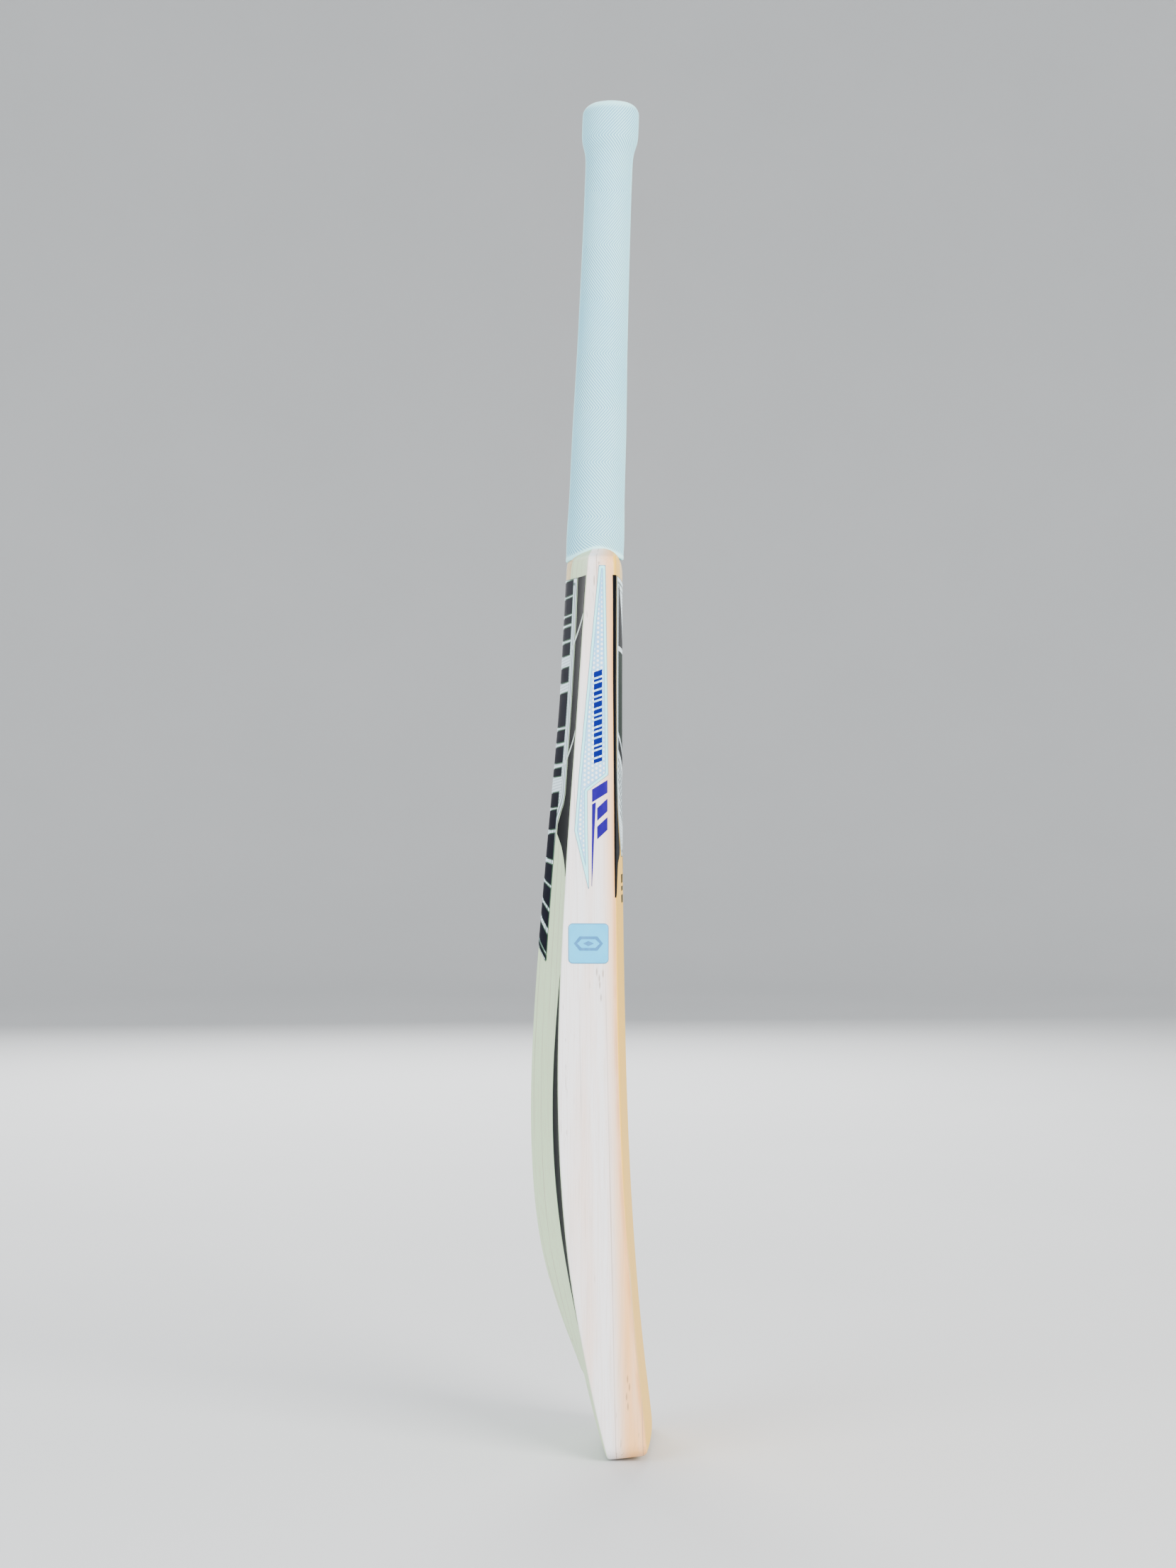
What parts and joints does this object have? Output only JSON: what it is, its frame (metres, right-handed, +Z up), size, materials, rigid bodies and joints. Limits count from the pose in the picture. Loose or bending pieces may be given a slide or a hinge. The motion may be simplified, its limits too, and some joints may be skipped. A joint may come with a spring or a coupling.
{
  "type": "cricket bat",
  "caption": "Cricket bat with a bowed willow blade, a high ridged spine, a spliced laminated cane handle under a ribbed rubber grip, and plain geometric stickers.",
  "frame": {"origin": "middle of the flat end of the toe", "axes": "+Z runs up the bat from the toe to the handle, -Y is the side that the flat hitting face looks to, +Y is the spine's side, X is across the blade's width. The toe's end is square to the bowed face, so its normal leans 6.8 degrees from -Z towards -Y"},
  "size_m": [0.108, 0.077, 0.8551],
  "materials": {
    "willow": "fine sanded and sealed willow, straight grain along the blade, low sheen",
    "cane": "bare laminated cane",
    "spring_rubber": "black sheet rubber",
    "twine": "waxed cotton thread wound in one layer",
    "grip_rubber": "matt white rubber with fine diagonal ribs that change direction from band to band",
    "sticker_blue": "printed pale blue film",
    "badge_foil": "embossed light blue foil",
    "sticker_purple": "printed purple film",
    "sticker_pale": "printed pale film with dark blocks and hairlines",
    "sticker_black": "printed black film"
  },
  "bodies": {
    "root": {"blade": "willow", "twine_binding": "twine", "grip": "grip_rubber", "back_sticker": "sticker_pale", "face_sticker": "sticker_pale", "cane_layer_1_left": "cane", "cane_layer_1_middle": "cane", "cane_layer_1_right": "cane", "cane_layer_2_left": "cane", "cane_layer_2_middle": "cane", "cane_layer_2_right": "cane", "cane_layer_3_left": "cane", "cane_layer_3_middle": "cane", "cane_layer_3_right": "cane", "cane_layer_4_left": "cane", "cane_layer_4_middle": "cane", "cane_layer_4_right": "cane", "rubber_spring_1": "spring_rubber", "rubber_spring_2": "spring_rubber", "rubber_spring_3": "spring_rubber", "edge_sticker_left": "sticker_blue", "edge_badge_left": "badge_foil", "back_stripe_left": "sticker_black", "back_crescent_left": "sticker_black", "face_stripe_left": "sticker_black", "edge_bar_left_1": "sticker_purple", "edge_bar_left_2": "sticker_purple", "edge_bar_left_3": "sticker_purple", "edge_sticker_right": "sticker_blue", "edge_badge_right": "badge_foil", "back_stripe_right": "sticker_black", "back_crescent_right": "sticker_black", "face_stripe_right": "sticker_black", "edge_bar_right_1": "sticker_purple", "edge_bar_right_2": "sticker_purple", "edge_bar_right_3": "sticker_purple"}
  },
  "joints": []
}
